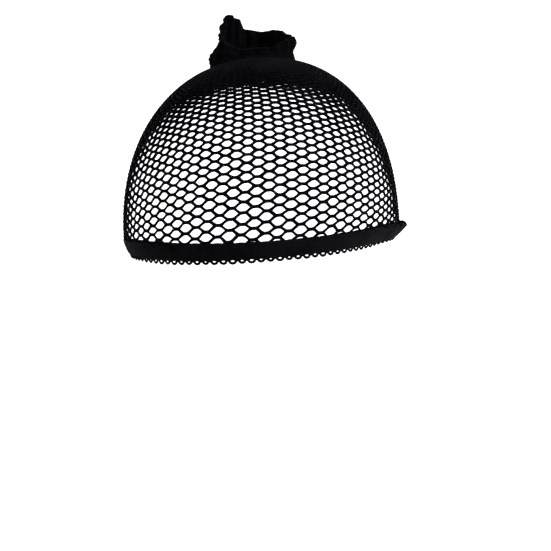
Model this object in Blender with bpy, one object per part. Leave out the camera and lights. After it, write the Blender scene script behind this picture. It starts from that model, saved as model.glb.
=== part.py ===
"""Stretch fishnet wig cap in its worn form, held up as a head holds it.

The origin is the centre of the head opening, in the plane of the band's lower edge at the front.
+Z points up through the crown, -Y is the front and +X is the wearer's left.
"""
import math

import bmesh
import bpy
from mathutils import Vector

MM = 0.001

# Head form that the cap is stretched over, measured to the middle of the net's wall
HEAD_HALF_WIDTH = 75.4 * MM
HEAD_HALF_DEPTH = 95.4 * MM
CROWN_RISE = 93.4 * MM
HEAD_FULLNESS = 2.2
CROWN_LEAN = 3.0 * MM
LEAN_POWER = 1.5

# Hem's drop towards the nape, on a cap that sits turned a little to the wearer's left
NAPE_DROP = 14.8 * MM
NAPE_DROP_POWER = 1.2
WORN_TURN = math.radians(14)

# Clearance between neighbouring pieces
SEAM_GAP = 0.3 * MM

# Elastic band
BAND_HEIGHT = 8.2 * MM
BAND_THICKNESS = 1.8 * MM
BAND_CROWNING = 0.35 * MM
BAND_EDGE_ROUND = 0.45 * MM
BAND_STATIONS = 80
TEMPLE_TUCK = 4.6 * MM
TUCK_SKEW = 1.9 * MM
EAR_BUMP = 4.3 * MM
EAR_TURN = math.radians(93)
EAR_SPREAD = math.radians(13)
EAR_FADE = 4.0 * MM
EAR_FADE_POWER = 4
EAR_DROP = 2.2 * MM
EAR_DROP_TURN = math.radians(102)
EAR_DROP_SPREAD = math.radians(12)

# Picot edging
PICOT_DEPTH = 2.2 * MM
PICOT_SPINE = 0.9 * MM
PICOT_THICKNESS = 1.0 * MM
PICOT_PITCH = 5.4 * MM
PICOT_CORNER_SHARE = 0.3
HEM_SAMPLES = 720

# Fishnet
NET_WALL = 1.2 * MM
STRAND_WIDTH = 2.4 * MM
MESH_COLUMNS = 24
MESH_ROWS = 9
MESH_JOIN_SHARE = 0.6
MESH_START_SHARE = 0.014
MESH_END_SHARE = 0.62
MESH_TAPER_SHARE = 0.25
ROW_ARCH_SHARE = 0.04
DENSE_RINGS = 3

# Neck between the crown and the collar
NECK_RADIUS = 23.0 * MM
NECK_FILLET = 3.0 * MM
NECK_SETBACK = 20.0 * MM
NECK_SHIFT = -7.0 * MM
FILLET_RINGS = 2

# Gathered collar
COLLAR_WALL = 1.8 * MM
COLLAR_SEAM_GAP = 0.5 * MM
FLAP_RISE = 25.0 * MM
COLLAR_STATIONS = 80
COLLAR_RINGS = 6
COLLAR_LOWEST_WALL = 2.8 * MM
GATHER_COUNT = 16
GATHER_DEPTH = 0.9 * MM
LOOSE_FOLD_COUNT = 9
LOOSE_FOLD_SHARE = 0.4

# Rim of the collar: turn in degrees from the front, towards the wearer's left.
# rise is a share of FLAP_RISE above the crown, reach is a share of NECK_RADIUS.
RIM_COLUMNS = ("turn", "rise", "reach")
RIM_TABLE = (
    (0, 0.16, 0.98),
    (22, 0.10, 0.98),
    (42, 0.22, 0.97),
    (65, 0.34, 0.96),
    (90, 0.42, 0.98),
    (118, 0.50, 0.92),
    (145, 0.62, 0.84),
    (172, 0.60, 0.82),
    (192, 0.655, 0.78),
    (206, 0.70, 0.72),
    (215, 0.90, 0.69),
    (228, 0.95, 0.68),
    (244, 1.01, 0.66),
    (266, 0.80, 0.75),
    (292, 0.58, 0.78),
    (318, 0.44, 0.86),
    (340, 0.30, 0.94),
)

# Swells of the collar's wall: turn in degrees, half width in degrees, share of the wall's height,
# half height as a share, and how far it stands out in mm
SWELL_START_POWER = 6
SWELL_COLUMNS = ("turn", "spread", "climb", "height", "swell")
SWELL_TABLE = (
    (285, 42, 0.34, 0.20, 2.0),
    (275, 40, 0.72, 0.18, -1.0),
    (92, 42, 0.38, 0.26, -1.6),
)

# Look
FABRIC_BLACK = (0.012, 0.012, 0.015, 1.0)
KNIT_ROUGHNESS = 0.75
SHARP_ANGLE = math.radians(50)


def clear_scene():
    """Empties the scene."""
    for item in list(bpy.data.objects):
        bpy.data.objects.remove(item, do_unlink=True)


def fabric(name):
    """Black textile material."""
    material = bpy.data.materials.new(name)
    material.use_nodes = True
    shader = material.node_tree.nodes["Principled BSDF"]
    shader.inputs["Base Color"].default_value = FABRIC_BLACK
    shader.inputs["Roughness"].default_value = KNIT_ROUGHNESS
    shader.inputs["Metallic"].default_value = 0.0
    material.diffuse_color = FABRIC_BLACK
    return material


def add_object(name, mesh_builder, material):
    """Links a named object for a finished bmesh, shaded smooth with its folds kept."""
    bmesh.ops.recalc_face_normals(mesh_builder, faces=mesh_builder.faces)
    mesh = bpy.data.meshes.new(name)
    mesh_builder.to_mesh(mesh)
    mesh_builder.free()
    mesh.shade_smooth()
    mesh.set_sharp_from_angle(angle=SHARP_ANGLE)
    mesh.materials.append(material)
    item = bpy.data.objects.new(name, mesh)
    bpy.context.scene.collection.objects.link(item)
    return item


def add_wall(item, thickness):
    """Thickens a cloth surface evenly to both sides."""
    wall = item.modifiers.new("wall", "SOLIDIFY")
    wall.thickness = thickness
    wall.offset = 0.0
    wall.use_even_offset = True


def ring_faces(builder, lower, upper):
    """Closes the strip between two rings of vertices."""
    count = len(lower)
    for i in range(count):
        j = (i + 1) % count
        builder.faces.new((lower[i], lower[j], upper[j], upper[i]))


def profile_height(reach):
    """Height share of the head's profile at a reach share from its axis."""
    return max(0.0, 1.0 - reach ** HEAD_FULLNESS) ** (1.0 / HEAD_FULLNESS)


def ear_bump(turn):
    """How far the wearer's left ear pushes the band out."""
    away = (turn - EAR_TURN + math.pi) % math.tau - math.pi
    return EAR_BUMP * math.exp(-((away / EAR_SPREAD) ** 2))


def nape_drop(turn):
    """How far the hem hangs below its front, most at the nape."""
    return NAPE_DROP * max(0.0, -math.cos(turn - WORN_TURN)) ** NAPE_DROP_POWER


def ear_drop(turn):
    """How far the band's upper edge is pulled down over the wearer's left ear."""
    away = (turn - EAR_DROP_TURN + math.pi) % math.tau - math.pi
    return EAR_DROP * math.exp(-((away / EAR_DROP_SPREAD) ** 2))


def head_point(direction):
    """Point of the level cap's surface in a direction from the middle of the band's upper edge."""
    reach = math.hypot(direction.x, direction.y)
    power = HEAD_FULLNESS
    scale = (reach ** power + max(0.0, direction.z) ** power) ** (-1.0 / power)
    height = CROWN_RISE * direction.z * scale
    lean = CROWN_LEAN * (height / CROWN_RISE) ** LEAN_POWER
    return Vector((
        HEAD_HALF_WIDTH * direction.x * scale + lean,
        HEAD_HALF_DEPTH * direction.y * scale,
        BAND_HEIGHT + SEAM_GAP + height,
    ))


def neck_direction(turn):
    """Direction of the ring where the crown turns up into the neck."""
    radius = NECK_RADIUS + NECK_FILLET
    across = (NECK_SHIFT + radius * math.sin(turn)) / HEAD_HALF_WIDTH
    along = (NECK_SETBACK - radius * math.cos(turn)) / HEAD_HALF_DEPTH
    return Vector((across, along, profile_height(math.hypot(across, along)))).normalized()


def crown_point(turn, rise):
    """Point of the crown: rise runs from 0 at the band to 1 at the neck."""
    arched = rise + ROW_ARCH_SHARE * 4.0 * rise * (1.0 - rise) * math.cos(turn)
    band = Vector((math.sin(turn), -math.cos(turn), 0.0))
    point = head_point(band.slerp(neck_direction(turn), arched))
    height = point.z - BAND_HEIGHT - SEAM_GAP
    point.z -= (nape_drop(turn) + ear_drop(turn)) * (1.0 - height / CROWN_RISE)
    return point + band * ear_bump(turn) * math.exp(-((height / EAR_FADE) ** EAR_FADE_POWER))


def neck_point(turn, lift):
    """Point of the fillet that turns the crown up, lift running from 0 to 1."""
    base = crown_point(turn, 1.0)
    angle = lift * math.pi / 2
    inward = Vector((-math.sin(turn), math.cos(turn), 0.0))
    side = NECK_FILLET * math.sin(angle)
    up = NECK_FILLET * (1.0 - math.cos(angle))
    return base + inward * side + Vector((0.0, 0.0, up))


def mesh_level(row):
    """Rise of a half row of meshes, closing up towards the crown."""
    share = (row + 1) / (MESH_ROWS + 1)
    eased = share * (1.0 + MESH_TAPER_SHARE) - MESH_TAPER_SHARE * share * share
    return MESH_START_SHARE + (MESH_END_SHARE - MESH_START_SHARE) * eased


def build_crown_net():
    """Net dome: hexagonal meshes cut through, then a dense zone up to the neck."""
    builder = bmesh.new()
    pitch = math.tau / MESH_COLUMNS
    knots = {}

    def turn_of(column, side):
        return (column + side * MESH_JOIN_SHARE / 2) * pitch

    def knot(column, side, row):
        key = (column % MESH_COLUMNS, side, row)
        if key not in knots:
            knots[key] = builder.verts.new(crown_point(turn_of(column, side), mesh_level(row)))
        return knots[key]

    meshes = []
    for column in range(MESH_COLUMNS):
        for row in range(column % 2, MESH_ROWS, 2):
            meshes.append(builder.faces.new((
                knot(column, -1, row - 1),
                knot(column, 1, row - 1),
                knot(column + 1, -1, row),
                knot(column, 1, row + 1),
                knot(column, -1, row + 1),
                knot(column - 1, 1, row),
            )))
    for column in range(1, MESH_COLUMNS, 2):
        meshes.append(builder.faces.new((
            knot(column - 1, 1, -1),
            knot(column, -1, -1),
            knot(column, 1, -1),
            knot(column + 1, -1, -1),
            knot(column, 1, 0),
            knot(column, -1, 0),
        )))

    sides = [(column, side) for column in range(MESH_COLUMNS) for side in (-1, 1)]
    lowest = [knot(column, side, -1) for column, side in sides]
    highest = [knot(column, side, MESH_ROWS - column % 2) for column, side in sides]

    hem = [builder.verts.new(crown_point(turn_of(*place), 0.0)) for place in sides]
    ring_faces(builder, hem, lowest)

    below = highest
    dense_start = mesh_level(MESH_ROWS) + MESH_START_SHARE
    for ring in range(DENSE_RINGS + 1):
        rise = dense_start + (1.0 - dense_start) * ring / DENSE_RINGS
        above = [builder.verts.new(crown_point(turn_of(*place), rise)) for place in sides]
        ring_faces(builder, below, above)
        below = above
    for ring in range(1, FILLET_RINGS + 1):
        above = [builder.verts.new(neck_point(turn_of(*place), ring / FILLET_RINGS)) for place in sides]
        ring_faces(builder, below, above)
        below = above

    builder.normal_update()
    bmesh.ops.inset_individual(builder, faces=meshes, thickness=STRAND_WIDTH / 2, use_even_offset=True)
    bmesh.ops.delete(builder, geom=meshes, context="FACES")
    net = add_object("crown_net", builder, fabric("net_black"))
    add_wall(net, NET_WALL)
    return net


def rim_value(turn, column):
    """Reads the rim table at any turn with a smooth closed curve through its rows."""
    index = RIM_COLUMNS.index(column)
    degrees = math.degrees(turn) % 360
    count = len(RIM_TABLE)
    row = max(i for i in range(count) if RIM_TABLE[i][0] <= degrees)
    start = RIM_TABLE[row][0]
    span = (RIM_TABLE[(row + 1) % count][0] - start) % 360
    share = (degrees - start) / span
    before, first, second, after = (RIM_TABLE[(row + step) % count][index] for step in (-1, 0, 1, 2))
    slope_in = (second - before) / 2
    slope_out = (after - first) / 2
    square = share * share
    cube = square * share
    return (
        first * (2 * cube - 3 * square + 1)
        + slope_in * (cube - 2 * square + share)
        + second * (3 * square - 2 * cube)
        + slope_out * (cube - square)
    )


def wall_swell(turn, climb):
    """How far the collar's wall swells out at a share of its height."""
    total = 0.0
    for row in SWELL_TABLE:
        value = dict(zip(SWELL_COLUMNS, row))
        away = (turn - math.radians(value["turn"]) + math.pi) % math.tau - math.pi
        along = away / math.radians(value["spread"])
        up = (climb - value["climb"]) / value["height"]
        total += value["swell"] * MM * math.exp(-along * along - up * up)
    return total * (1.0 - (1.0 - climb) ** SWELL_START_POWER)


def collar_point(turn, climb):
    """Point of the collar: climb runs from 0 at the neck to 1 at the rim."""
    outward = Vector((math.sin(turn), -math.cos(turn), 0.0))
    base = neck_point(turn, 1.0) + Vector((0.0, 0.0, COLLAR_SEAM_GAP))
    crown_top = BAND_HEIGHT + SEAM_GAP + CROWN_RISE
    rim_height = max(crown_top + FLAP_RISE * rim_value(turn, "rise"), base.z + COLLAR_LOWEST_WALL)
    rim_reach = NECK_RADIUS * (rim_value(turn, "reach") - 1.0)
    blend = climb * climb * (3.0 - 2.0 * climb)
    fold = math.cos(GATHER_COUNT * turn) + LOOSE_FOLD_SHARE * math.sin(LOOSE_FOLD_COUNT * turn)
    gather = GATHER_DEPTH * fold * math.sin(climb * math.pi / 2)
    point = base + outward * (rim_reach * blend + wall_swell(turn, climb) + gather)
    point.z = base.z + (rim_height - base.z) * climb
    return point


def build_gathered_collar():
    """Open end of the net tube, gathered into folds, with a flap and a low front."""
    builder = bmesh.new()
    below = None
    for ring in range(COLLAR_RINGS + 1):
        climb = ring / COLLAR_RINGS
        turns = [math.tau * i / COLLAR_STATIONS for i in range(COLLAR_STATIONS)]
        above = [builder.verts.new(collar_point(turn, climb)) for turn in turns]
        if below:
            ring_faces(builder, below, above)
        below = above
    collar = add_object("gathered_collar", builder, fabric("collar_black"))
    add_wall(collar, COLLAR_WALL)
    return collar


def band_point(turn, height, offset):
    """Point of the band's wall: offset runs outwards from the middle of the net's wall."""
    outward = Vector((math.sin(turn), -math.cos(turn), 0.0))
    share = height / BAND_HEIGHT
    tuck = (TEMPLE_TUCK + TUCK_SKEW * outward.x) * (1.0 - share) * outward.x ** 2
    reach = offset + ear_bump(turn) - tuck
    return Vector((
        HEAD_HALF_WIDTH * outward.x + reach * outward.x,
        HEAD_HALF_DEPTH * outward.y + reach * outward.y,
        height - nape_drop(turn) - ear_drop(turn) * share,
    ))


def build_head_band():
    """Flat elastic band with a slightly rounded outer face."""
    builder = bmesh.new()
    half = BAND_THICKNESS / 2
    edge = BAND_EDGE_ROUND
    section = (
        (edge, -half),
        (BAND_HEIGHT - edge, -half),
        (BAND_HEIGHT, edge - half),
        (BAND_HEIGHT, half - edge),
        (BAND_HEIGHT - edge, half),
        (BAND_HEIGHT / 2, half + BAND_CROWNING),
        (edge, half),
        (0.0, half - edge),
        (0.0, edge - half),
    )
    rings = []
    for station in range(BAND_STATIONS):
        turn = math.tau * station / BAND_STATIONS
        rings.append([builder.verts.new(band_point(turn, height, offset)) for height, offset in section])
    for station in range(BAND_STATIONS):
        ring_faces(builder, rings[station], rings[(station + 1) % BAND_STATIONS])
    return add_object("head_band", builder, fabric("elastic_black"))


def hem_turns(pitch):
    """Turns of equally long steps along the band's lower edge."""
    turns = [math.tau * i / HEM_SAMPLES for i in range(HEM_SAMPLES + 1)]
    points = [band_point(turn, 0.0, 0.0) for turn in turns]
    lengths = [0.0]
    for start, end in zip(points, points[1:]):
        lengths.append(lengths[-1] + (end - start).length)
    lobes = round(lengths[-1] / pitch)
    result = []
    sample = 0
    for lobe in range(lobes):
        target = lengths[-1] * lobe / lobes
        while lengths[sample + 1] <= target:
            sample += 1
        share = (target - lengths[sample]) / (lengths[sample + 1] - lengths[sample])
        result.append(turns[sample] + share * math.tau / HEM_SAMPLES)
    return result


def build_picot_edging():
    """Scalloped edging that hangs from the band's lower edge."""
    builder = bmesh.new()
    half = PICOT_THICKNESS / 2
    rings = []
    starts = hem_turns(PICOT_PITCH)
    for index, start in enumerate(starts):
        step = (starts[(index + 1) % len(starts)] - start) % math.tau
        corners = (
            (start, PICOT_SPINE),
            (start + step * PICOT_CORNER_SHARE, PICOT_DEPTH),
            (start + step * (1.0 - PICOT_CORNER_SHARE), PICOT_DEPTH),
        )
        for turn, depth in corners:
            section = ((-SEAM_GAP, -half), (-SEAM_GAP, half), (-depth, half), (-depth, -half))
            ring = []
            for height, offset in section:
                point = band_point(turn, 0.0, offset)
                point.z += height
                ring.append(builder.verts.new(point))
            rings.append(ring)
    for index, ring in enumerate(rings):
        ring_faces(builder, ring, rings[(index + 1) % len(rings)])
    return add_object("picot_edging", builder, fabric("picot_black"))


def main():
    """Builds the cap."""
    clear_scene()
    build_crown_net()
    build_gathered_collar()
    build_head_band()
    build_picot_edging()


main()
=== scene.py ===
"""Looks of the stretch fishnet wig cap: fine net, gathered collar, knitted band and picot loops.

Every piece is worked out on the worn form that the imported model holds: the net's strands follow
the crown, the collar follows the neck and its rim, and the band and its loops follow the hem.
Turn is the angle round the cap, 0 at the front (-Y) and growing towards the wearer's left (+X).
"""
import math

import bpy
import numpy as np
from mathutils import Matrix, Vector


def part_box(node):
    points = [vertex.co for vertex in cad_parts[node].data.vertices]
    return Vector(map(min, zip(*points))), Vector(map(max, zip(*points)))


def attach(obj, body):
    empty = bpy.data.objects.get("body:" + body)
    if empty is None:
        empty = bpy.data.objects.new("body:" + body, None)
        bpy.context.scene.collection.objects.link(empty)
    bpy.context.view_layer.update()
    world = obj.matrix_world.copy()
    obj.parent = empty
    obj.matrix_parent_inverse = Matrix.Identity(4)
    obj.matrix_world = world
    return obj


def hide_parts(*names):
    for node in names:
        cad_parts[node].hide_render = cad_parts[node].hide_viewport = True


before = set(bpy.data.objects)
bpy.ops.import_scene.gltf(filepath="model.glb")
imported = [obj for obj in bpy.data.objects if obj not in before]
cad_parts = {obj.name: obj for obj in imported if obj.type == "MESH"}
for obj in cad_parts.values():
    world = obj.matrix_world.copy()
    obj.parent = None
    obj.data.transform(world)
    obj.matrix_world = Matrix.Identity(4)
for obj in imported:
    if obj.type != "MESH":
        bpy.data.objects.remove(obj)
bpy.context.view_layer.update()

MM = 0.001
FULL_TURN = 2.0 * math.pi

# Worn form of the cap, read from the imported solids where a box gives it
net_low, net_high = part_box("crown_net")
_, band_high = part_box("head_band")
NET_WALL = 1.2 * MM
SEAM_GAP = 0.3 * MM
HALF_WIDTH = -net_low.x - NET_WALL / 2
HALF_DEPTH = net_high.y - NET_WALL / 2
BAND_TOP = band_high.z
CROWN_RISE = 93.4 * MM
HEAD_FULLNESS = 2.2
CROWN_LEAN = 3.0 * MM
LEAN_POWER = 1.5

# Step for the crown's slopes, and steps in the table of lengths round the hem
NORMAL_STEP = 1e-3
HEM_TABLE_STEPS = 7200

# Hem's drop towards the nape, on a cap that sits turned a little to the wearer's left
NAPE_DROP = 14.8 * MM
NAPE_DROP_POWER = 1.2
WORN_TURN = math.radians(14)

# Ear under the band, and how the temples tuck the band's lower edge in and lift it
EAR_BUMP = 4.3 * MM
EAR_TURN = math.radians(93)
EAR_SPREAD = math.radians(13)
EAR_FADE = 1.8 * MM
EAR_FADE_POWER = 4
EAR_DROP = 3.0 * MM
EAR_DROP_TURN = math.radians(102)
EAR_DROP_SPREAD = math.radians(12)
TEMPLE_TUCK = 4.6 * MM
TUCK_SKEW = 1.9 * MM
TEMPLE_LIFT = 1.2 * MM

# Neck between the crown and the collar
NECK_RADIUS = 23.0 * MM
NECK_FILLET = 3.0 * MM
NECK_SETBACK = 20.0 * MM
NECK_SHIFT = -7.0 * MM

# Camera: its place, from which the near half of the net was measured, and its frame in pixels.
# The point it aims at stands AIM_ACROSS pixels from the frame's left and AIM_DOWN from its top.
CAMERA_AZIMUTH = math.radians(12.0)
CAMERA_ELEVATION = math.radians(2.0)
CAMERA_ROLL = math.radians(3.4)
CAMERA_DISTANCE = 1.1
CAMERA_AIM = np.array([0.0, 0.0, 0.05])
SENSOR_WIDTH = 36.0
FRAME_PIXELS = 551
FOCAL_PIXELS = 1978.0
AIM_ACROSS = 258.2
AIM_DOWN = 153.6
CLIP_START = 0.05
CLIP_END = 20.0
SIGHT = np.array([
    -math.sin(CAMERA_AZIMUTH) * math.cos(CAMERA_ELEVATION),
    math.cos(CAMERA_AZIMUTH) * math.cos(CAMERA_ELEVATION),
    -math.sin(CAMERA_ELEVATION),
])

# Fishnet lattice: half columns round the cap, half rows (levels) from the band to the neck.
# The near half has the spacing that NEAR_COLUMNS would have all round, the far half a wider one.
LEFT_COLUMN = -19
RIGHT_COLUMN = 21
HALF_COLUMNS = 2 * (RIGHT_COLUMN - LEFT_COLUMN)
NEAR_COLUMNS = 86
FIRST_LEVEL = -7
LAST_LEVEL = 83
COLUMN_OFFSET = 2.31
COLUMN_SHEAR = 0.560
COLUMN_BEND = -0.710
COLUMN_SQUEEZE = 4.80
FIRST_RISE = 0.0189
ROW_STEP = 0.01516
ROW_CLOSING = 3.96e-5
ROW_TILT = 0.0137
ROW_TILT_GROWTH = -0.0210
ROW_ARCH = 0.0901
BACK_EASE = 0.65
BACK_EASE_POWER = 4

# Evening out between the two halves. It starts EVEN_COLUMNS half columns inside the near half's
# outline, and EVEN_GROWTH more at each level. Up to the ear's level, its outline is taken.
EVEN_COLUMNS = 4.5
EVEN_GROWTH = 0.055
EAR_LEVEL = 8
EVENING_ROUNDS = 3000
OUTLINE_COLUMNS = 30.0
OUTLINE_STEP = 0.1

# Rise of the rows that run in under the collar, and how far a place stays below the last level
UNDER_COLLAR = 1.03
LEVEL_MARGIN = 1.001

# Values that a smooth curve reads: one before, the two it runs between, and one after
CURVE_STEPS = (-1, 0, 1, 2)

# Search for the far wall's places behind the near ones
SIGHT_ROUNDS = 40
SLOPE_STEP = 1e-5
LARGEST_MOVE = 0.1
LOWEST_RISE = -0.2
HIGHEST_RISE = 1.25

# Slow unevenness of the knots: reach, waves round the cap, climb in radians a level, and phase.
# A second wave has more waves, and its climb and phase are multiples of the first's.
WANDER_ACROSS = (0.08, 13, 0.83, 0.4)
WANDER_UP = (0.11, 9, 1.31, 1.9)
WANDER_MORE_WAVES = 8
WANDER_CLIMB_TIMES = -1.7
WANDER_PHASE_TIMES = 2.3

# Strands: how square their swing is, and how far in levels each stops short of a bar's middle,
# where two lie side by side. Lower than HEM_TUCK below the band's edge they run inside its wall.
WAVE_SQUARENESS = 1.4
BAR_SHORTFALL = 0.055
HEM_TUCK = 0.8 * MM

# Net yarn in mm: open meshes below, slack and thick towards the neck
YARN_COLUMNS = ("level", "width", "depth")
YARN_TABLE = (
    (0, 1.50, 1.15),
    (10, 1.56, 1.20),
    (20, 1.68, 1.30),
    (30, 1.92, 1.45),
    (38, 1.85, 1.45),
    (46, 2.10, 1.60),
    (60, 2.30, 1.70),
)

# How far a strand steps in and out as it swings, how its stitches swell, and its section's sides
YARN_CROSSING = 0.22 * MM
STITCH_SWELL = 0.05
YARN_SIDES = 6

# Pieces of the net: name, first strand, strand after the last, samples in a half column
NET_PIECES = (
    ("net_lower", -5, 16, 6),
    ("net_middle", 16, 44, 6),
    ("net_crown", 44, 82, 4),
)

# Gathered collar
COLLAR_WALL = 1.6 * MM
COLLAR_LOWEST_WALL = 2.2 * MM
FLAP_RISE = 25.0 * MM
GATHER_COUNT = 16
GATHER_DEPTH = 0.9 * MM
LOOSE_FOLD_COUNT = 9
LOOSE_FOLD_SHARE = 0.4
FINE_PLEAT_COUNT = 31
FINE_PLEAT_DEPTH = 0.3 * MM
PLEAT_SWAY = 1.5
PLEAT_SWAY_COUNT = 3

# Collar's grid: samples in a half column, rows, and net levels that its knit goes on counting
COLLAR_SAMPLES = 4
COLLAR_FILLET_ROWS = 8
COLLAR_WALL_ROWS = 56
COLLAR_FILLET_LEVELS = 3.0
COLLAR_WALL_LEVELS = 17.0
COLLAR_FIRST_LEVEL = 79.0

# Collar's knit, whose relief is at most a share of the spacing between levels, and its bound rim,
# a bead that goes half round in RIM_STEPS steps
KNIT_RELIEF = 0.30 * MM
KNIT_RELIEF_SHARE = 0.28
RIB_RELIEF = 0.12 * MM
INNER_RELIEF_SHARE = 0.6
RIM_BEAD = 0.15 * MM
RIM_LUMP = 0.12
RIM_STEPS = 6

# Rim of the collar: turn in degrees from the front, towards the wearer's left.
# rise is a share of FLAP_RISE above the crown, reach is a share of NECK_RADIUS.
RIM_COLUMNS = ("turn", "rise", "reach")
RIM_TABLE = (
    (0, 0.16, 0.98),
    (22, 0.10, 0.98),
    (42, 0.22, 0.97),
    (65, 0.34, 0.96),
    (90, 0.42, 0.98),
    (118, 0.50, 0.92),
    (145, 0.62, 0.84),
    (172, 0.60, 0.82),
    (192, 0.655, 0.78),
    (206, 0.70, 0.72),
    (215, 0.90, 0.69),
    (228, 0.95, 0.68),
    (244, 1.01, 0.66),
    (266, 0.80, 0.73),
    (292, 0.58, 0.72),
    (318, 0.44, 0.86),
    (340, 0.30, 0.94),
)

# Swells of the collar's wall: turn in degrees, half width in degrees, share of the wall's height,
# half height as a share, and how far it stands out in mm. They fade out at the wall's foot.
SWELL_COLUMNS = ("turn", "spread", "climb", "height", "swell")
SWELL_TABLE = (
    (285, 42, 0.34, 0.20, 2.0),
    (275, 40, 0.72, 0.18, -1.0),
    (92, 42, 0.32, 0.22, -1.0),
    (96, 36, 0.80, 0.22, 1.3),
)
SWELL_START_POWER = 6

# Elastic band
BAND_HEIGHT = 8.2 * MM
BAND_THICKNESS = 1.8 * MM
BAND_CROWNING = 0.35 * MM
BAND_STITCHES = 450
BAND_SAMPLES = 4
STITCH_DEPTH = 0.05 * MM

# Band's section: margins of its outer face, rounded edges, and places up its inner face
OUTER_START = 0.3 * MM
OUTER_END = 0.1 * MM
EDGE_INSET = 0.4 * MM
TOP_ROUNDING = 0.2 * MM
BOTTOM_ROUNDING = 0.02 * MM
INNER_SHARES = (0.96, 0.75, 0.5, 0.25, 0.04)

# Ribs along the band: steps in a rib, and how round, deep and high they are between grooves
BAND_RIBS = 8
RIB_STEPS = 4
OUTER_STEPS = BAND_RIBS * RIB_STEPS
RIB_DEPTH = 0.14 * MM
RIB_ROUNDNESS = 0.6
RIB_MIDDLE = 0.7
RIB_AT_EDGES = 0.2

# Lumps of the upper edge over the net's knots, with a slow unevenness, and a sway of the wall:
# waves round the cap, and phase
EDGE_LUMP = 0.2 * MM
LUMP_POWER = 6
LUMP_MIDDLE = 0.5
LUMP_UNEVENNESS = 0.4
LUMP_WAVES = ((13, 0.7), (29, 0.0))
BAND_SWAY = 0.12 * MM
SWAY_WAVES = ((7, 1.0), (17, 2.0))
KNOT_SEARCH_STEP = 0.25

# Creases of the band: turn in degrees, lean in mm along for each mm up, depth and half width in mm
CREASE_COLUMNS = ("turn", "lean", "depth", "width")
CREASE_TABLE = (
    (58, 0.5, 0.12, 1.6),
    (66, -0.4, 0.16, 1.4),
    (73, 0.7, 0.20, 1.2),
    (80, 0.2, 0.24, 1.3),
    (86, -0.6, 0.20, 1.5),
    (101, 0.4, 0.22, 1.4),
    (109, -0.3, 0.16, 1.6),
    (-72, 0.4, 0.12, 1.6),
    (-84, -0.5, 0.15, 1.4),
)

# Picot edging: how many loops, and where they stand round the hem
PICOT_LOOPS = 98
PICOT_PHASE = 0.76
PICOT_STRETCH = 0.78
HEM_SAMPLES = 1440

# Picot's threads: how far they hang, swing and step off the band's middle, and their radius
SPINE_DIP = 0.14 * MM
SPINE_STEP = 0.20 * MM
SPINE_RADIUS = 0.48 * MM
SCALLOP_DROP = 1.12 * MM
SCALLOP_SWING = 0.58 * MM
SCALLOP_STEP = 0.16 * MM
SCALLOP_RADIUS = 0.50 * MM
LOOP_DROP = 0.64 * MM
LOOP_HALF_WIDTH = 1.50 * MM
LOOP_HALF_HEIGHT = 1.06 * MM
LOOP_STEP = 0.10 * MM
LOOP_THREAD_RADIUS = 0.74 * MM
THREAD_FLATNESS = 0.55
THREAD_SIDES = 6
STEPS_IN_LOOP = 16

# Uneven size of the loops: share, radians a loop, and phase
LOOP_UNEVENNESS = ((0.08, 2.4, 0.0), (0.06, 0.7, 1.0))

# How far the picot rolls in under the band, at the sides and at the back
EDGE_ROLL = 0.45
EDGE_ROLL_POWER = 12
BACK_ROLL = 0.5
BACK_ROLL_START = 0.3

# Mesh steps that one step of the cloths' texture covers
WALL_TEXTURE_STEPS = 4.0
THREAD_TEXTURE_STEPS = 3.0

# Cloths: name, darkest and lightest colour, roughness, stitches along and chevrons across a step
# of the texture, relief in mm, specular and sheen
CLOTH_COLUMNS = (
    "name", "dark", "light", "roughness", "stitches", "chevrons", "relief", "specular", "sheen"
)
CLOTH_TABLE = (
    ("net_yarn", (0.0004, 0.0004, 0.0006), (0.0014, 0.0014, 0.0018), 0.72, 6, 2, 0.12, 0.003, 0.0009),
    ("collar_knit", (0.0005, 0.0005, 0.0006), (0.0014, 0.0014, 0.0017), 0.78, 3, 1, 0.15, 0.005, 0.0024),
    ("elastic_knit", (0.0005, 0.0005, 0.0006), (0.0016, 0.0016, 0.0022), 0.75, 1, 1, 0.10, 0.009, 0.0032),
    ("picot_thread", (0.0004, 0.0004, 0.0006), (0.0014, 0.0014, 0.0018), 0.72, 1, 2, 0.10, 0.006, 0.0025),
)

# What all cloths share: shares of the bump, noise scales and details, colour ramp and sheen
STITCH_BUMP = 0.35
CHEVRON_BUMP = 1.2
FUZZ_BUMP = 0.6
FUZZ_SCALE = 2600.0
FUZZ_DETAIL = 3.0
BUMP_STRENGTH = 0.7
TINT_SCALE = 55.0
TINT_DETAIL = 4.0
TINT_START = 0.3
TINT_END = 0.75
STITCH_TINT = 0.08
ROUGHNESS_SPREAD = 0.08
SHEEN_ROUGHNESS = 0.45
SHEEN_TINT = (0.75, 0.78, 1.0, 1.0)

# Studio: a pale paper floor that sweeps up into a round wall
FLOOR_HEIGHT = -0.30
FLAT_RADIUS = 1.3
SWEEP_RADIUS = 0.9
SWEEP_STEPS = 16
WALL_HEIGHT = 2.6
FLOOR_SEGMENTS = 96
PAPER_COLOUR = (0.90, 0.90, 0.905, 1.0)
PAPER_ROUGHNESS = 0.9
PAPER_SPECULAR = 0.1

# Softboxes: name, place, width and power, the key from the upper right
SOFTBOXES = (
    ("key", (1.35, -0.55, 0.9), 0.45, 60.0),
    ("fill", (-1.3, -1.1, 0.7), 0.8, 8.0),
    ("top", (0.0, 0.2, 1.7), 0.9, 8.0),
)


def outward(turn):
    """Horizontal direction away from the cap's axis."""
    return np.stack([np.sin(turn), -np.cos(turn), np.zeros_like(turn)], -1)


def turn_from(turn, start):
    """Signed angle from a start to a turn, the short way round."""
    return (turn - start + math.pi) % FULL_TURN - math.pi


def unit(vectors):
    """Vectors of length one."""
    return vectors / np.linalg.norm(vectors, axis=-1, keepdims=True)


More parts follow.
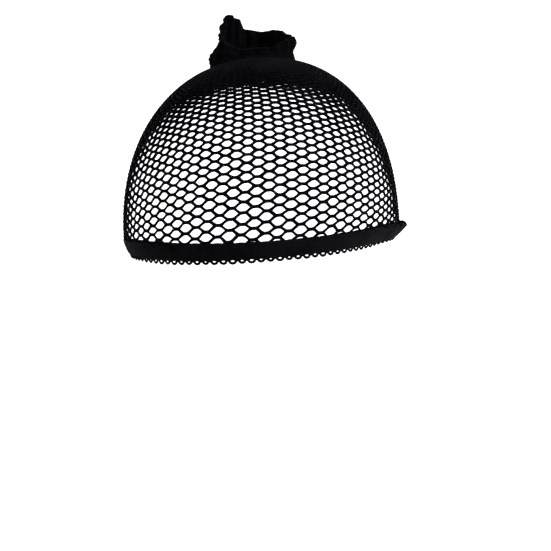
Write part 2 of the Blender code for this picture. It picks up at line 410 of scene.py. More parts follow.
def smooth(share):
    """Eases a share from 0 to 1."""
    share = np.clip(share, 0.0, 1.0)
    return share * share * (3.0 - 2.0 * share)


def cubic(before, first, second, after, share):
    """Smooth curve from the second of four even steps to the third, so far along it."""
    slope = second - before
    bend = 2 * before - 5 * first + 4 * second - after
    twist = 3 * (first - second) + after - before
    return first + share / 2 * (slope + share * (bend + share * twist))


def ear_bump(turn):
    """How far the wearer's left ear pushes the band out."""
    return EAR_BUMP * np.exp(-((turn_from(turn, EAR_TURN) / EAR_SPREAD) ** 2))


def ear_drop(turn):
    """How far the band's upper edge is pulled down over the wearer's left ear."""
    return EAR_DROP * np.exp(-((turn_from(turn, EAR_DROP_TURN) / EAR_DROP_SPREAD) ** 2))


def nape_drop(turn):
    """How far the hem hangs below its front, most at the nape."""
    return NAPE_DROP * np.maximum(0.0, -np.cos(turn - WORN_TURN)) ** NAPE_DROP_POWER


def head_point(direction):
    """Point of the level crown in a direction from the middle of the band's upper edge."""
    reach = np.hypot(direction[..., 0], direction[..., 1])
    climb = direction[..., 2]
    scale = (reach ** HEAD_FULLNESS + np.abs(climb) ** HEAD_FULLNESS) ** (-1.0 / HEAD_FULLNESS)
    height = CROWN_RISE * climb * scale
    lean = CROWN_LEAN * np.maximum(0.0, height / CROWN_RISE) ** LEAN_POWER
    return np.stack([
        HALF_WIDTH * direction[..., 0] * scale + lean,
        HALF_DEPTH * direction[..., 1] * scale,
        BAND_TOP + SEAM_GAP + height,
    ], -1)


def neck_direction(turn):
    """Direction of the ring where the crown turns up into the neck."""
    radius = NECK_RADIUS + NECK_FILLET
    across = (NECK_SHIFT + radius * np.sin(turn)) / HALF_WIDTH
    along = (NECK_SETBACK - radius * np.cos(turn)) / HALF_DEPTH
    climb = (1.0 - np.hypot(across, along) ** HEAD_FULLNESS) ** (1.0 / HEAD_FULLNESS)
    return unit(np.stack([across, along, climb], -1))


def crown_point(turn, rise):
    """Point of the crown: rise runs from 0 at the band to 1 at the neck."""
    band = outward(turn)
    neck = neck_direction(turn)
    angle = np.arccos(np.sum(band * neck, -1))
    first = (np.sin((1.0 - rise) * angle) / np.sin(angle))[..., None]
    second = (np.sin(rise * angle) / np.sin(angle))[..., None]
    point = head_point(first * band + second * neck)
    height = point[..., 2] - BAND_TOP - SEAM_GAP
    point[..., 2] -= (nape_drop(turn) + ear_drop(turn)) * (1.0 - height / CROWN_RISE)
    bump = ear_bump(turn) * np.exp(-((height / EAR_FADE) ** EAR_FADE_POWER))
    return point + band * bump[..., None]


def band_point(turn, height, offset):
    """Point of the band's wall: offset runs outwards from the middle of the net's wall."""
    out = outward(turn)
    share = height / BAND_HEIGHT
    tuck = (TEMPLE_TUCK + TUCK_SKEW * out[..., 0]) * (1.0 - share) * out[..., 0] ** 2
    lift = TEMPLE_LIFT * (1.0 - share) * np.minimum(0.0, out[..., 0]) ** 2
    reach = offset + ear_bump(turn) - tuck
    return np.stack([
        (HALF_WIDTH + reach) * out[..., 0],
        (HALF_DEPTH + reach) * out[..., 1],
        height + lift - nape_drop(turn) - ear_drop(turn) * share,
    ], -1)


def crown_normals(turn, rise):
    """Outward normals of the crown."""
    along = crown_point(turn + NORMAL_STEP, rise) - crown_point(turn - NORMAL_STEP, rise)
    up = crown_point(turn, rise + NORMAL_STEP) - crown_point(turn, rise - NORMAL_STEP)
    return unit(np.cross(along, up))


def hem_speed(turn):
    """Length of the hem's oval for each radian of turn."""
    return np.hypot(HALF_WIDTH * np.cos(turn), HALF_DEPTH * np.sin(turn))


def hem_length_table():
    """Turns and shares of length round the hem's oval, both from -half to +half."""
    turns = np.linspace(-math.pi, math.pi, HEM_TABLE_STEPS + 1)
    speed = hem_speed(turns)
    steps = (speed[1:] + speed[:-1]) / 2 * np.diff(turns)
    lengths = np.concatenate([[0.0], np.cumsum(steps)])
    return turns, lengths / lengths[-1] - 0.5


HEM_TURNS, HEM_SHARES = hem_length_table()


def near_place(column, level):
    """Turn and rise of a place in the near half of the lattice."""
    base = FIRST_RISE + ROW_STEP * level - ROW_CLOSING * level ** 2
    share = ((column + COLUMN_OFFSET) / NEAR_COLUMNS + 0.5) % 1.0 - 0.5
    even = FULL_TURN * share
    weight = (1.0 - base) * (1.0 - COLUMN_SQUEEZE * base)
    turn = even + weight * (np.interp(share, HEM_SHARES, HEM_TURNS) - even)
    turn = turn + COLUMN_SHEAR * base + COLUMN_BEND * base ** 2
    arch = np.cos(turn) + BACK_EASE * ((1.0 - np.cos(turn)) / 2) ** BACK_EASE_POWER
    rise = base + np.sin(turn) * (1.0 - base ** 2) * (ROW_TILT + ROW_TILT_GROWTH * base)
    rise = rise + ROW_ARCH * 4.0 * base * (1.0 - base) * arch
    return turn, rise


def seen(turn, rise):
    """Where a place of the crown stands in a picture that is taken from the camera's place."""
    right = np.array([math.cos(CAMERA_AZIMUTH), math.sin(CAMERA_AZIMUTH), 0.0])
    up = np.cross(right, SIGHT)
    from_camera = crown_point(turn, rise) - CAMERA_AIM + CAMERA_DISTANCE * SIGHT
    return np.stack([from_camera @ right, from_camera @ up], -1) / (from_camera @ SIGHT)[..., None]


def flat_cross(first, second):
    """Cross product of vectors in the picture's plane."""
    return first[..., 0] * second[..., 1] - first[..., 1] * second[..., 0]


def behind(turn, rise):
    """Turn and rise of the far wall's places that lie behind places of the near wall."""
    target = seen(turn, rise)
    far_turn = math.pi + 2.0 * CAMERA_AZIMUTH - turn
    far_rise = rise.copy()
    for _ in range(SIGHT_ROUNDS):
        miss = seen(far_turn, far_rise) - target
        by_turn = seen(far_turn + SLOPE_STEP, far_rise) - seen(far_turn - SLOPE_STEP, far_rise)
        by_rise = seen(far_turn, far_rise + SLOPE_STEP) - seen(far_turn, far_rise - SLOPE_STEP)
        whole = flat_cross(by_turn, by_rise) / (2.0 * SLOPE_STEP)
        turn_error = flat_cross(miss, by_rise) / whole
        rise_error = flat_cross(by_turn, miss) / whole
        far_turn = far_turn - np.clip(turn_error, -LARGEST_MOVE, LARGEST_MOVE)
        far_rise = far_rise - np.clip(rise_error, -LARGEST_MOVE, LARGEST_MOVE)
        far_rise = np.clip(far_rise, LOWEST_RISE, HIGHEST_RISE)
    return far_turn, far_rise


def outline_column(level, side):
    """Column at which the crown turns away from the camera, on the right (1) or the left (-1)."""
    column = side * np.arange(0.0, OUTLINE_COLUMNS, OUTLINE_STEP)
    turn, rise = near_place(column, np.full_like(column, max(level, EAR_LEVEL)))
    rise = np.minimum(rise, 1.0)
    towards = CAMERA_AIM - CAMERA_DISTANCE * SIGHT - crown_point(turn, rise)
    away = np.sum(crown_normals(turn, rise) * towards, -1) < 0.0
    return column[np.argmax(away)]


def known_rows(columns, levels):
    """Turn and rise at each column and level, and which of them are held fast.

    The near half is as measured. The far half stands behind it, seen from the camera's place, and
    its top rows run in under the collar. Between the two a row is filled in evenly.
    """
    turns = np.zeros((len(levels), HALF_COLUMNS))
    rises = np.zeros_like(turns)
    known = np.zeros(turns.shape, bool)
    for row, level in enumerate(levels):
        margin = EVEN_COLUMNS + EVEN_GROWTH * max(level, 0)
        left = outline_column(level, -1) + margin
        right = outline_column(level, 1) - margin
        near = (columns > left) & (columns < right)
        turns[row, near], rises[row, near] = near_place(columns[near], float(level))
        mirrored = 2 * RIGHT_COLUMN - columns
        far = (mirrored > left) & (mirrored < right) & (columns > RIGHT_COLUMN)
        turns[row, far], rises[row, far] = behind(*near_place(mirrored[far], float(level)))
        hidden = far & (rises[row] >= 1.0)
        turns[row, hidden] = turns[row - 1, hidden]
        rises[row, hidden] = UNDER_COLLAR
        known[row] = near | far
        if known[row].any():
            place = np.where(known[row])[0]
            span = np.arange(place[0], place[0] + HALF_COLUMNS)
            ends = np.append(place, place[0] + HALF_COLUMNS)
            turn_ends = np.append(turns[row, place], turns[row, place[0]] + FULL_TURN)
            rise_ends = np.append(rises[row, place], rises[row, place[0]])
            back = FULL_TURN * (span >= HALF_COLUMNS)
            turns[row, span % HALF_COLUMNS] = np.interp(span, ends, turn_ends) - back
            rises[row, span % HALF_COLUMNS] = np.interp(span, ends, rise_ends)
        else:
            turns[row] = turns[row - 1]
            rises[row] = rises[row - 1]
    rises[-1] = UNDER_COLLAR
    return turns, rises, known


def lattice_grid():
    """Turn, less its even share, and rise at each whole column and level, evened out."""
    columns = np.arange(LEFT_COLUMN, LEFT_COLUMN + HALF_COLUMNS)
    levels = np.arange(FIRST_LEVEL, LAST_LEVEL + 1)
    turns, rises, known = known_rows(columns, levels)
    known_rises = known | (levels == LAST_LEVEL)[:, None]
    for _ in range(EVENING_ROUNDS):
        for grid, wrap, held in ((turns, FULL_TURN, known), (rises, 0.0, known_rises)):
            left = np.roll(grid, 1, axis=1)
            left[:, 0] -= wrap
            right = np.roll(grid, -1, axis=1)
            right[:, -1] += wrap
            below = np.concatenate([grid[:1], grid[:-1]])
            above = np.concatenate([grid[1:], grid[-1:]])
            grid[:] = np.where(held, grid, (left + right + below + above) / 4)
    return turns - FULL_TURN * np.arange(HALF_COLUMNS) / HALF_COLUMNS, rises


LATTICE = lattice_grid()


def net_place(column, level):
    """Turn and rise of a place in the net's lattice."""
    across = column - LEFT_COLUMN
    up = np.clip(level - FIRST_LEVEL, 1.0, LAST_LEVEL - FIRST_LEVEL - LEVEL_MARGIN)
    column_below = np.floor(across).astype(int)
    level_below = np.floor(up).astype(int)
    values = []
    for grid in LATTICE:
        rows = []
        for row_step in CURVE_STEPS:
            row = level_below + row_step
            four = [grid[row, (column_below + step) % HALF_COLUMNS] for step in CURVE_STEPS]
            rows.append(cubic(*four, across - column_below))
        values.append(cubic(*rows, up - level_below))
    return values[0] + FULL_TURN * across / HALF_COLUMNS, values[1]


def wander(column, level, reach, waves, climb, phase):
    """Slow, seamless unevenness of the net, the same in the far half as in the near one."""
    near = RIGHT_COLUMN - np.abs(RIGHT_COLUMN - column)
    angle = FULL_TURN * near / HALF_COLUMNS
    first = np.sin(waves * angle + climb * level + phase)
    second_climb = WANDER_CLIMB_TIMES * climb
    second_phase = WANDER_PHASE_TIMES * phase
    second = np.sin((waves + WANDER_MORE_WAVES) * angle + second_climb * level + second_phase)
    return reach * (first + second) / 2


def make_mesh(name, points, faces, texture):
    """Object from points, quads and a pair of texture values for each corner."""
    mesh = bpy.data.meshes.new(name)
    corners = faces.size
    mesh.vertices.add(len(points))
    mesh.vertices.foreach_set("co", points.astype(np.float32).ravel())
    mesh.loops.add(corners)
    mesh.loops.foreach_set("vertex_index", faces.astype(np.int32).ravel())
    mesh.polygons.add(len(faces))
    starts = np.arange(0, corners, faces.shape[1], dtype=np.int32)
    mesh.polygons.foreach_set("loop_start", starts)
    layer = mesh.uv_layers.new(name="yarn")
    layer.data.foreach_set("uv", texture.astype(np.float32).ravel())
    mesh.update(calc_edges=True)
    mesh.validate()
    mesh.shade_smooth()
    item = bpy.data.objects.new(name, mesh)
    bpy.context.scene.collection.objects.link(item)
    return item


def tube_rings(centre, normal, width, depth, sides):
    """Oval sections round a closed thread: width lies along the cloth, depth stands off it."""
    tangent = unit(np.roll(centre, -1, axis=0) - np.roll(centre, 1, axis=0))
    side = unit(np.cross(normal, tangent))
    up = unit(np.cross(tangent, side))
    angle = np.arange(sides) * FULL_TURN / sides
    across = np.cos(angle)[None, :, None] * side[:, None, :] * (width / 2)[:, None, None]
    off = np.sin(angle)[None, :, None] * up[:, None, :] * (depth / 2)[:, None, None]
    return centre[:, None, :] + across + off


def ring_quads(rings, sides):
    """Quads of a closed tube, and how far along and around it each of their corners lies."""
    ring, side = np.meshgrid(np.arange(rings), np.arange(sides), indexing="ij")
    after = (ring + 1) % rings
    beside = (side + 1) % sides
    quads = np.stack([
        ring * sides + side,
        ring * sides + beside,
        after * sides + beside,
        after * sides + side,
    ], -1)
    along = np.stack([ring, ring, ring + 1, ring + 1], -1)
    around = np.stack([side, side + 1, side + 1, side], -1)
    return quads.reshape(-1, 4), along.reshape(-1, 4), around.reshape(-1, 4)


def strand(number, samples):
    """One closed thread of the net, swinging between its level and the next."""
    column = LEFT_COLUMN + np.arange(HALF_COLUMNS * samples) / samples
    swing = np.tanh(WAVE_SQUARENESS * np.cos(math.pi * column)) / math.tanh(WAVE_SQUARENESS)
    swing = swing * (-1) ** number
    level = number + 0.5 + (0.5 - BAR_SHORTFALL) * swing
    wide = column + wander(column, level, *WANDER_ACROSS)
    high = level + wander(column, level, *WANDER_UP)
    turn, rise = net_place(wide, high)
    rise = np.minimum(rise, 1.0)
    point = crown_point(turn, rise)
    normal = crown_normals(turn, rise)

    inside = band_point(turn, np.full_like(turn, BAND_TOP - HEM_TUCK), np.zeros_like(turn))
    sunk = point[:, 2] < inside[:, 2]
    point = np.where(sunk[:, None], inside, point)

    stitch = 1.0 + STITCH_SWELL * (-1.0) ** np.arange(len(column))
    yarn = dict(zip(YARN_COLUMNS, np.array(YARN_TABLE).T))
    width = MM * np.interp(level, yarn["level"], yarn["width"]) * stitch
    depth = MM * np.interp(level, yarn["level"], yarn["depth"]) * stitch
    point = point + normal * (YARN_CROSSING * swing)[:, None]
    return tube_rings(point, normal, width, depth, YARN_SIDES)


def build_net_piece(name, first, end, samples):
    """Several strands of the net as one piece."""
    rings = HALF_COLUMNS * samples
    quads, along, around = ring_quads(rings, YARN_SIDES)
    points = []
    faces = []
    texture = []
    for number in range(first, end):
        faces.append(quads + len(points) * rings * YARN_SIDES)
        points.append(strand(number, samples).reshape(-1, 3))
        texture.append(np.stack([along / samples, around / YARN_SIDES], -1))
    return make_mesh(name, np.concatenate(points), np.concatenate(faces), np.concatenate(texture))


def rim_values(turns, column):
    """Reads the rim table at any turns with a smooth closed curve through its rows."""
    index = RIM_COLUMNS.index(column)
    count = len(RIM_TABLE)
    result = []
    for turn in turns:
        degrees = math.degrees(turn) % 360
        row = max(row for row in range(count) if RIM_TABLE[row][0] <= degrees)
        start = RIM_TABLE[row][0]
        span = (RIM_TABLE[(row + 1) % count][0] - start) % 360
        four = [RIM_TABLE[(row + step) % count][index] for step in CURVE_STEPS]
        result.append(cubic(*four, (degrees - start) / span))
    return np.array(result)


def neck_point(turn, lift):
    """Point of the fillet that turns the crown up, lift running from 0 to 1."""
    angle = lift * math.pi / 2
    inwards = outward(turn) * NECK_FILLET * math.sin(angle)
    point = crown_point(turn, np.ones_like(turn)) - inwards
    point[..., 2] += NECK_FILLET * (1.0 - math.cos(angle))
    return point


def wall_swell(turn, climb):
    """How far the collar's wall swells out at a share of its height."""
    total = np.zeros_like(turn)
    for row in SWELL_TABLE:
        value = dict(zip(SWELL_COLUMNS, row))
        away = turn_from(turn, math.radians(value["turn"]))
        along = np.exp(-((away / math.radians(value["spread"])) ** 2))
        up = math.exp(-(((climb - value["climb"]) / value["height"]) ** 2))
        total += value["swell"] * MM * along * up
    return total * (1.0 - (1.0 - climb) ** SWELL_START_POWER)


def collar_middle(turn):
    """Rows of points up the middle of the collar's wall, and the net's level at each row."""
    rows = []
    for row in range(COLLAR_FILLET_ROWS):
        rows.append(neck_point(turn, row / COLLAR_FILLET_ROWS))
    base = neck_point(turn, 1.0)
    base[:, 2] += SEAM_GAP
    crown_top = BAND_TOP + SEAM_GAP + CROWN_RISE
    rim_height = crown_top + FLAP_RISE * rim_values(turn, "rise")
    rim_height = np.maximum(rim_height, base[:, 2] + COLLAR_LOWEST_WALL)
    rim_reach = NECK_RADIUS * (rim_values(turn, "reach") - 1.0)
    fold = np.cos(GATHER_COUNT * turn) + LOOSE_FOLD_SHARE * np.sin(LOOSE_FOLD_COUNT * turn)
    pleat = np.cos(FINE_PLEAT_COUNT * turn + PLEAT_SWAY * np.sin(PLEAT_SWAY_COUNT * turn))
    climbs = np.arange(COLLAR_WALL_ROWS + 1) / COLLAR_WALL_ROWS
    for climb in climbs:
        swell = wall_swell(turn, climb)
        gather = (GATHER_DEPTH * fold + FINE_PLEAT_DEPTH * pleat) * math.sin(climb * math.pi / 2)
        reach = rim_reach * smooth(climb) + swell + gather
        point = base + outward(turn) * reach[:, None]
        point[:, 2] = base[:, 2] + (rim_height - base[:, 2]) * climb
        rows.append(point)
    levels = np.concatenate([
        COLLAR_FILLET_LEVELS * np.arange(COLLAR_FILLET_ROWS) / COLLAR_FILLET_ROWS,
        COLLAR_FILLET_LEVELS + COLLAR_WALL_LEVELS * climbs,
    ])
    return np.array(rows), COLLAR_FIRST_LEVEL + levels


def build_collar():
    """Gathered end of the net tube: a knitted wall with ribs, folds and a bound rim."""
    count = HALF_COLUMNS * COLLAR_SAMPLES
    column = LEFT_COLUMN + np.arange(count) / COLLAR_SAMPLES
    turn, _ = net_place(column, np.full(count, COLLAR_FIRST_LEVEL))
    middle, level = collar_middle(turn)
    along = np.roll(middle, -1, axis=1) - np.roll(middle, 1, axis=1)
    up = np.gradient(middle, axis=0)
    normal = unit(np.cross(along, up))
    spacing = np.linalg.norm(up, axis=-1) / np.gradient(level)[:, None]
    strength = np.minimum(KNIT_RELIEF, KNIT_RELIEF_SHARE * spacing)
    knit = -strength * np.cos(math.pi * column)[None, :] * np.cos(math.pi * level)[:, None]
    rib = np.cos(2.0 * math.pi * column)
    relief = (knit + RIB_RELIEF * rib[None, :])[..., None]
    half = COLLAR_WALL / 2
    outer = middle + normal * (half + relief)
    inner = middle - normal * (half - INNER_RELIEF_SHARE * relief)

    last = len(middle) - 1
    top = unit(middle[last] - middle[last - 1])
    lump = 1.0 + RIM_LUMP * rib[:, None]
    rim = []
    for step in range(-1, RIM_STEPS + 2):
        angle = math.pi * step / RIM_STEPS
        bead = math.cos(angle) * normal[last] + math.sin(angle) * top
        rim.append(middle[last] + top * RIM_BEAD + bead * (half + RIM_BEAD) * lump)
    rows = np.concatenate([outer[:last], np.array(rim), inner[:last][::-1]])
    points = rows.transpose(1, 0, 2).reshape(-1, 3)
    quads, ahead, around = ring_quads(count, len(rows))
    texture = np.stack([ahead / COLLAR_SAMPLES, around / WALL_TEXTURE_STEPS], -1)
    return make_mesh("collar", points, quads, texture)


def band_section():
    """Heights and offsets round the band's section: up the outer face, and down the inner one."""
    half = BAND_THICKNESS / 2
    outer_height = BAND_HEIGHT - OUTER_START - OUTER_END
    section = []
    for step in range(OUTER_STEPS + 1):
        section.append((OUTER_START + outer_height * step / OUTER_STEPS, half))
    section.append((BAND_HEIGHT + TOP_ROUNDING, half - EDGE_INSET))
    section.append((BAND_HEIGHT + TOP_ROUNDING, EDGE_INSET - half))
    for share in INNER_SHARES:
        section.append((BAND_HEIGHT * share, -half))
    section.append((BOTTOM_ROUNDING, EDGE_INSET - half))
    section.append((BOTTOM_ROUNDING, half - EDGE_INSET))
    return section


def crease_depth(turn, height):
    """How far the creases press the band in, at a height."""
    total = np.zeros_like(turn)
    for row in CREASE_TABLE:
        value = dict(zip(CREASE_COLUMNS, row))
        along = turn_from(turn, math.radians(value["turn"])) * hem_speed(turn)
        distance = along - value["lean"] * (height - BAND_HEIGHT / 2)
        total += value["depth"] * MM * np.exp(-((distance / (value["width"] * MM)) ** 2))
    return total


def build_band():
    """Knitted elastic band: ribs and stitches, a lumpy upper edge and faint creases."""
    stations = BAND_STITCHES * BAND_SAMPLES
    station = np.arange(stations)
    turn = FULL_TURN * station / stations
    columns = LEFT_COLUMN + np.arange(-HALF_COLUMNS, 2 * HALF_COLUMNS, KNOT_SEARCH_STEP)
    places, _ = net_place(columns, np.zeros_like(columns))
    knots = np.cos(math.pi * np.interp(turn, places, columns)) ** 2
    (first_waves, first_phase), (second_waves, second_phase) = LUMP_WAVES
    uneven = np.sin(first_waves * turn + first_phase) * np.cos(second_waves * turn + second_phase)
    lump = EDGE_LUMP * (knots - LUMP_MIDDLE + LUMP_UNEVENNESS * uneven)
    sway = BAND_SWAY * sum(np.sin(waves * turn + phase) for waves, phase in SWAY_WAVES)
    section = band_section()
    rings = []
    for step, (height, offset) in enumerate(section):
        share = height / BAND_HEIGHT
        if step <= OUTER_STEPS:
            groove = abs(math.sin(math.pi * step / RIB_STEPS)) ** RIB_ROUNDNESS
            if step in (0, OUTER_STEPS):
                groove = RIB_AT_EDGES
            lean = abs(share * BAND_RIBS % 1.0 - 0.5)
            stitch = np.cos(FULL_TURN * (station / BAND_SAMPLES + lean))
            offset = offset + BAND_CROWNING * (1.0 - (2.0 * share - 1.0) ** 2)
            offset = offset + RIB_DEPTH * (groove - RIB_MIDDLE) + STITCH_DEPTH * stitch
        level = height + lump * share ** LUMP_POWER
        rings.append(band_point(turn, level, offset - crease_depth(turn, height) + sway))
    points = np.array(rings).transpose(1, 0, 2).reshape(-1, 3)
    quads, along, around = ring_quads(stations, len(section))
    texture = np.stack([along / BAND_SAMPLES, around / WALL_TEXTURE_STEPS], -1)
    return make_mesh("band_knit", points, quads, texture)


def hem_table():
    """Lengths along the band's lower edge, and the turn and the count of loops at each.

    The edging is stretched unevenly, so that its loops lie closest at the front.
    """
    turns = np.linspace(0.0, FULL_TURN, HEM_SAMPLES + 1)
    points = band_point(turns, np.zeros_like(turns), np.zeros_like(turns))
    steps = np.linalg.norm(np.diff(points, axis=0), axis=1)
    lengths = np.concatenate([[0.0], np.cumsum(steps)])
    loops = PICOT_LOOPS * lengths / lengths[-1] + PICOT_STRETCH * np.sin(2.0 * turns) + PICOT_PHASE
    return lengths, turns, loops


def picot_threads(lengths, loops):
    """Threads of the edging: lengths along the hem, drops, steps off the band's middle, radius."""
    threads = []
    angle = np.arange(STEPS_IN_LOOP) * FULL_TURN / STEPS_IN_LOOP
    for loop in range(1, PICOT_LOOPS + 1):
        middle = np.interp(loop + 0.5, loops, lengths)
        size = 1.0
        for share, pace, phase in LOOP_UNEVENNESS:
            size += share * math.sin(loop * pace + phase)
        along = middle + LOOP_HALF_WIDTH * size * np.cos(angle)
        drop = LOOP_DROP + LOOP_HALF_HEIGHT * size * np.sin(angle)
        threads.append((along, drop, LOOP_STEP * np.cos(angle), LOOP_THREAD_RADIUS))

    steps = PICOT_LOOPS * STEPS_IN_LOOP
    along = np.arange(steps) * lengths[-1] / steps
    phase = FULL_TURN * np.interp(along, lengths, loops)
    lobe = SCALLOP_DROP - SCALLOP_SWING * np.cos(phase)
    threads.append((along, lobe, -SCALLOP_STEP * np.cos(2.0 * phase), SCALLOP_RADIUS))
    for side in (1.0, -1.0):
        off = side * SPINE_STEP * np.sin(2.0 * phase)
        threads.append((along, SPINE_DIP * np.cos(phase), off, SPINE_RADIUS))
    return threads


def build_picot():
    """Edging under the band: a ring for each loop, a waving thread, and two threads along it."""
    lengths, turns, loops = hem_table()
    points = []
    faces = []
    texture = []
    used = 0
    for along, drop, off, radius in picot_threads(lengths, loops):
        turn = np.interp(along % lengths[-1], lengths, turns)
        side_roll = EDGE_ROLL * np.abs(np.sin(turn)) ** EDGE_ROLL_POWER
        back_roll = BACK_ROLL * smooth(-np.cos(turn - CAMERA_AZIMUTH) / BACK_ROLL_START)
        roll = np.maximum(side_roll, back_roll)
        centre = band_point(turn, np.zeros_like(turn), off)
        centre = centre - outward(turn) * (drop * roll)[:, None]
        centre[:, 2] -= drop * (1.0 - roll)
        width = np.full(len(turn), 2 * radius)
        rings = tube_rings(centre, outward(turn), width, width * THREAD_FLATNESS, THREAD_SIDES)
        quads, ahead, around = ring_quads(len(turn), THREAD_SIDES)
        points.append(rings.reshape(-1, 3))
        faces.append(quads + used)
        texture.append(np.stack([ahead / THREAD_TEXTURE_STEPS, around / THREAD_SIDES], -1))
        used += len(turn) * THREAD_SIDES
    return make_mesh(
        "picot_loops", np.concatenate(points), np.concatenate(faces), np.concatenate(texture)
    )


def node_tree(name):
    """New material with its node tree and its shader."""
    material = bpy.data.materials.new(name)
    material.use_nodes = True
    tree = material.node_tree
    return material, tree, tree.nodes["Principled BSDF"]


def math_node(tree, operation, first, second=None):
    """Math node on a socket or number."""
    node = tree.nodes.new("ShaderNodeMath")
    node.operation = operation
    for index, value in enumerate((first, second)):
        if value is None:
            continue
        if isinstance(value, (int, float)):
            node.inputs[index].default_value = value
        else:
            tree.links.new(value, node.inputs[index])
    return node.outputs[0]


def noise_node(tree, vector, scale, detail):
    """Noise at a place, so fine and so detailed."""
    node = tree.nodes.new("ShaderNodeTexNoise")
    node.inputs["Scale"].default_value = scale
    node.inputs["Detail"].default_value = detail
    tree.links.new(vector, node.inputs["Vector"])
    return node.outputs["Fac"]


def knit_material(cloth):
    """Black knitted cloth: chevron stitches in its bump, slow colour changes and a little fuzz."""
    material, tree, shader = node_tree(cloth["name"])
    nodes = tree.nodes
    links = tree.links

    place = nodes.new("ShaderNodeUVMap")
    place.uv_map = "yarn"
    split = nodes.new("ShaderNodeSeparateXYZ")
    links.new(place.outputs["UV"], split.inputs[0])
    ahead = math_node(tree, "MULTIPLY", split.outputs["X"], float(cloth["stitches"]))
    side = math_node(tree, "MULTIPLY", split.outputs["Y"], float(cloth["chevrons"]))
    side = math_node(tree, "PINGPONG", side, 0.5)
    slant = math_node(tree, "ADD", ahead, side)
    wave = math_node(tree, "SINE", math_node(tree, "MULTIPLY", slant, FULL_TURN))

    coordinates = nodes.new("ShaderNodeTexCoord").outputs["Object"]
    fuzz = noise_node(tree, coordinates, FUZZ_SCALE, FUZZ_DETAIL)
    groove = math_node(tree, "MULTIPLY", side, CHEVRON_BUMP)
    height = math_node(tree, "ADD", math_node(tree, "MULTIPLY", wave, STITCH_BUMP), groove)
    height = math_node(tree, "ADD", height, math_node(tree, "MULTIPLY", fuzz, FUZZ_BUMP))
    bump = nodes.new("ShaderNodeBump")
    bump.inputs["Strength"].default_value = BUMP_STRENGTH
    bump.inputs["Distance"].default_value = cloth["relief"] * MM
    links.new(height, bump.inputs["Height"])
    links.new(bump.outputs["Normal"], shader.inputs["Normal"])

    slow = noise_node(tree, coordinates, TINT_SCALE, TINT_DETAIL)
    ramp = nodes.new("ShaderNodeValToRGB")
    ramp.color_ramp.elements[0].position = TINT_START
    ramp.color_ramp.elements[0].color = (*cloth["dark"], 1.0)
    ramp.color_ramp.elements[1].position = TINT_END
    ramp.color_ramp.elements[1].color = (*cloth["light"], 1.0)
    tint = math_node(tree, "ADD", slow, math_node(tree, "MULTIPLY", wave, STITCH_TINT))
    links.new(tint, ramp.inputs["Fac"])
    links.new(ramp.outputs["Color"], shader.inputs["Base Color"])

    rough = nodes.new("ShaderNodeMapRange")
    rough.inputs["To Min"].default_value = cloth["roughness"] - ROUGHNESS_SPREAD
    rough.inputs["To Max"].default_value = cloth["roughness"] + ROUGHNESS_SPREAD
    links.new(fuzz, rough.inputs["Value"])
    links.new(rough.outputs["Result"], shader.inputs["Roughness"])
    shader.inputs["Specular IOR Level"].default_value = cloth["specular"]
    shader.inputs["Sheen Weight"].default_value = cloth["sheen"]
    shader.inputs["Sheen Roughness"].default_value = SHEEN_ROUGHNESS
    shader.inputs["Sheen Tint"].default_value = SHEEN_TINT
    return material


def dress(piece, node, material):
    """Gives a piece its material and its place in the part."""
    piece.data.materials.append(material)
    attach(piece, "root")
    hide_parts(node)


def build_stage():
    """Pale floor that sweeps up all round into a seamless backdrop."""
    profile = [(FLAT_RADIUS, FLOOR_HEIGHT)]
    for step in range(1, SWEEP_STEPS + 1):
        angle = step / SWEEP_STEPS * math.pi / 2
        profile.append((
            FLAT_RADIUS + SWEEP_RADIUS * math.sin(angle),
            FLOOR_HEIGHT + SWEEP_RADIUS * (1.0 - math.cos(angle)),
        ))
    profile.append((FLAT_RADIUS + SWEEP_RADIUS, WALL_HEIGHT))
    points = []
    for radius, height in profile:
        for segment in range(FLOOR_SEGMENTS):
            angle = FULL_TURN * segment / FLOOR_SEGMENTS
            points.append((radius * math.cos(angle), radius * math.sin(angle), height))
    faces = [tuple(range(FLOOR_SEGMENTS))]
    for ring in range(len(profile) - 1):
        low = ring * FLOOR_SEGMENTS
        high = low + FLOOR_SEGMENTS
        for segment in range(FLOOR_SEGMENTS):
            beside = (segment + 1) % FLOOR_SEGMENTS
            faces.append((low + segment, high + segment, high + beside, low + beside))
    mesh = bpy.data.meshes.new("studio_floor")
    mesh.from_pydata(points, [], faces)
    mesh.shade_smooth()
    floor = bpy.data.objects.new("studio_floor", mesh)
    bpy.context.scene.collection.objects.link(floor)
    material, _, shader = node_tree("studio_paper")
    shader.inputs["Base Color"].default_value = PAPER_COLOUR
    shader.inputs["Roughness"].default_value = PAPER_ROUGHNESS
    shader.inputs["Specular IOR Level"].default_value = PAPER_SPECULAR
    mesh.materials.append(material)


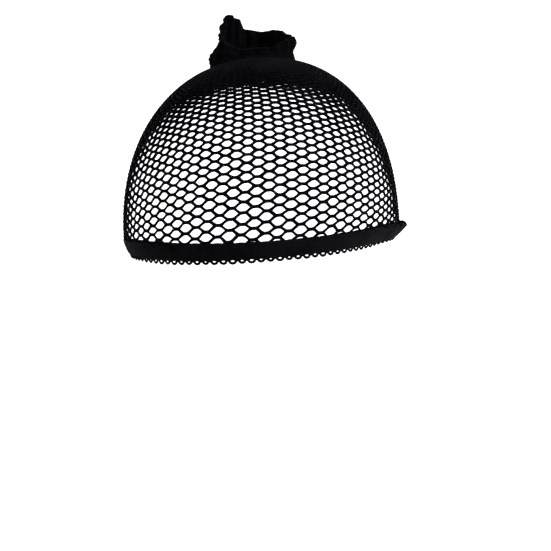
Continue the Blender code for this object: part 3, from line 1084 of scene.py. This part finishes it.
def build_lights():
    """White room light, and square softboxes that face the cap."""
    world = bpy.data.worlds.new("white_room")
    world.use_nodes = True
    world.node_tree.nodes["Background"].inputs["Color"].default_value = (1.0, 1.0, 1.0, 1.0)
    world.node_tree.nodes["Background"].inputs["Strength"].default_value = 1.0
    bpy.context.scene.world = world
    for name, place, width, power in SOFTBOXES:
        light = bpy.data.lights.new(name, "AREA")
        light.shape = "SQUARE"
        light.size = width
        light.energy = power
        item = bpy.data.objects.new(name, light)
        item.location = place
        aim = Vector(CAMERA_AIM) - Vector(place)
        item.rotation_euler = aim.to_track_quat("-Z", "Y").to_euler()
        bpy.context.scene.collection.objects.link(item)
    bpy.context.scene.view_settings.view_transform = "Standard"


def build_camera():
    """Camera at the photograph's angle, turned so that the cap stands high in the frame."""
    aim_right = (FRAME_PIXELS / 2 - AIM_ACROSS) / FOCAL_PIXELS
    aim_down = (FRAME_PIXELS / 2 - AIM_DOWN) / FOCAL_PIXELS
    forward = Vector(SIGHT)
    level_right = Vector((math.cos(CAMERA_AZIMUTH), math.sin(CAMERA_AZIMUTH), 0.0))
    level_up = level_right.cross(forward)
    right = level_right * math.cos(CAMERA_ROLL) - level_up * math.sin(CAMERA_ROLL)
    up = level_up * math.cos(CAMERA_ROLL) + level_right * math.sin(CAMERA_ROLL)
    place = Vector(CAMERA_AIM) - forward * CAMERA_DISTANCE
    centre = (forward + right * aim_right - up * aim_down).normalized()
    side = centre.cross(up).normalized()
    top = side.cross(centre)
    camera = bpy.data.cameras.new("photo_camera")
    camera.sensor_width = SENSOR_WIDTH
    camera.lens = SENSOR_WIDTH * FOCAL_PIXELS / FRAME_PIXELS
    camera.clip_start = CLIP_START
    camera.clip_end = CLIP_END
    item = bpy.data.objects.new("photo_camera", camera)
    item.matrix_world = Matrix((
        (side.x, top.x, -centre.x, place.x),
        (side.y, top.y, -centre.y, place.y),
        (side.z, top.z, -centre.z, place.z),
        (0.0, 0.0, 0.0, 1.0),
    ))
    bpy.context.scene.collection.objects.link(item)
    bpy.context.scene.camera = item


cloths = {}
for row in CLOTH_TABLE:
    cloth = dict(zip(CLOTH_COLUMNS, row))
    cloths[cloth["name"]] = knit_material(cloth)

for name, first, end, samples in NET_PIECES:
    dress(build_net_piece(name, first, end, samples), "crown_net", cloths["net_yarn"])
dress(build_collar(), "gathered_collar", cloths["collar_knit"])
dress(build_band(), "head_band", cloths["elastic_knit"])
dress(build_picot(), "picot_edging", cloths["picot_thread"])

build_stage()
build_lights()
build_camera()
